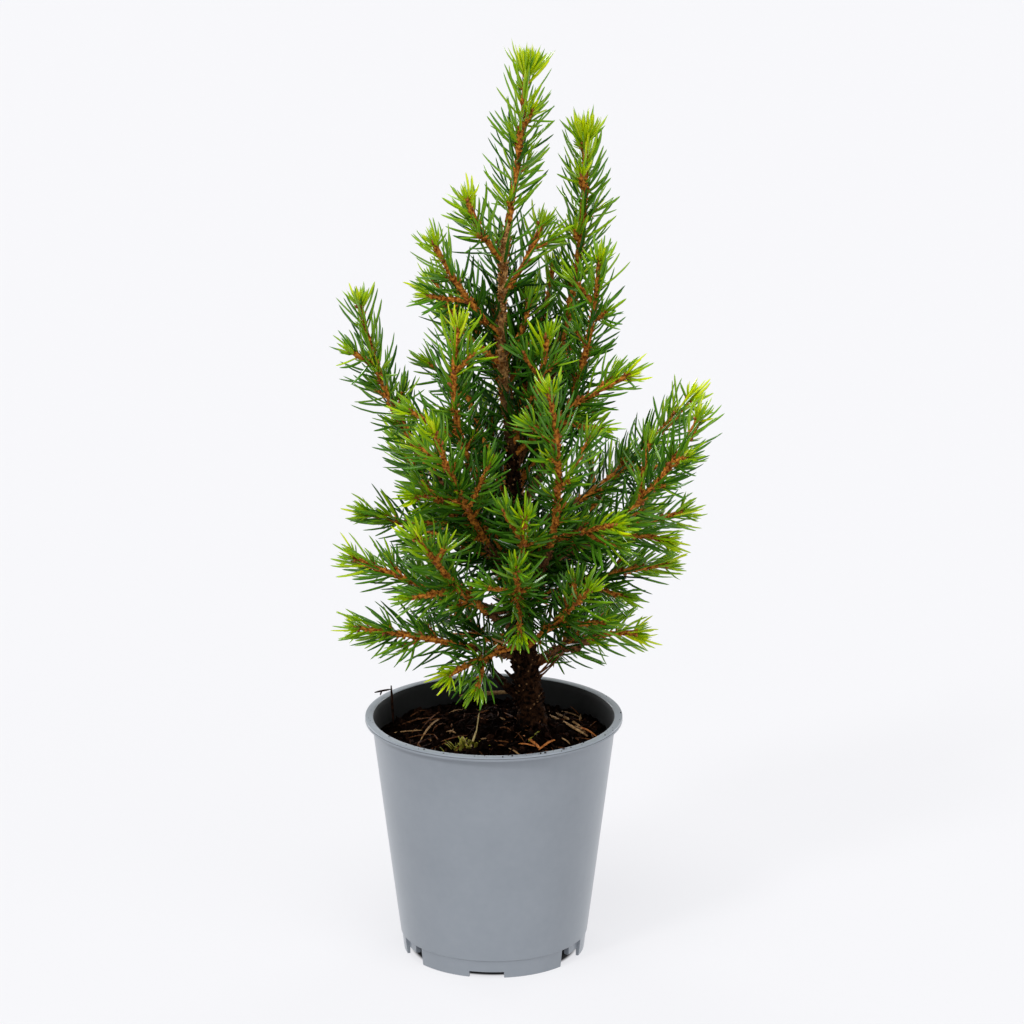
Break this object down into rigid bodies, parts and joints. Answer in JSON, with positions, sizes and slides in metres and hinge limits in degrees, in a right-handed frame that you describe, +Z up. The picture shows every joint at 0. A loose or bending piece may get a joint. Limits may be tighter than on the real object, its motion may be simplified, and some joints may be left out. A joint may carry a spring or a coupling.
{
  "type": "potted conifer",
  "caption": "Young spruce with an upright leader and rising needled shoots, in a round tapered plastic nursery pot filled with soil.",
  "frame": {"origin": "on the ground, under the middle of the whole plant's box", "axes": "+Z up along the trunk, -Y towards the front, +X to the right as seen from the front"},
  "size_m": [0.1376, 0.1268, 0.3208],
  "materials": {
    "pot_plastic": "satin",
    "soil": "matte",
    "trunk_bark": "matte",
    "bough_bark": "matte",
    "foliage": "satin"
  },
  "bodies": {
    "root": {"back_foot_left_foliage": "foliage", "back_foot_right_foliage": "foliage", "back_left_foliage": "foliage", "back_low_foliage": "foliage", "back_middle_foliage": "foliage", "back_right_foliage": "foliage", "back_spire_left_foliage": "foliage", "back_spire_right_foliage": "foliage", "crest_left_foliage": "foliage", "crest_right_foliage": "foliage", "crown_back_foliage": "foliage", "crown_inner_foliage": "foliage", "crown_back_stub_foliage": "foliage", "crown_right_foliage": "foliage", "front_left_low_bough": "bough_bark", "front_left_low_foliage": "foliage", "front_right_low_foliage": "foliage", "front_spire_bough": "bough_bark", "front_spire_foliage": "foliage", "front_spire_left_foliage": "foliage", "front_spire_right_foliage": "foliage", "front_stub_foliage": "foliage", "leader_foliage": "foliage", "left_arm_bough": "bough_bark", "left_arm_foliage": "foliage", "left_fan_high_foliage": "foliage", "left_fan_middle_bough": "bough_bark", "left_fan_middle_foliage": "foliage", "left_foot_bough": "bough_bark", "left_foot_foliage": "foliage", "left_foot_front_foliage": "foliage", "left_front_bough": "bough_bark", "left_front_foliage": "foliage", "left_front_side_foliage": "foliage", "left_spire_bough": "bough_bark", "left_spire_foliage": "foliage", "pot": "pot_plastic", "right_column_bough": "bough_bark", "right_column_foliage": "foliage", "right_column_side_foliage": "foliage", "right_fan_back_foliage": "foliage", "right_fan_low_foliage": "foliage", "right_fan_middle_foliage": "foliage", "right_foot_bough": "bough_bark", "right_foot_foliage": "foliage", "right_wing_back_bough": "bough_bark", "right_wing_back_foliage": "foliage", "right_wing_bough": "bough_bark", "right_wing_foliage": "foliage", "shoulder_left_back_foliage": "foliage", "shoulder_left_foliage": "foliage", "soil": "soil", "trunk": "trunk_bark", "twin_leader_bough": "bough_bark", "twin_leader_foliage": "foliage", "upper_back_foliage": "foliage", "upper_back_low_foliage": "foliage", "back_inner_foliage": "foliage", "back_inner_low_foliage": "foliage", "upper_right_foliage": "foliage"}
  },
  "joints": []
}
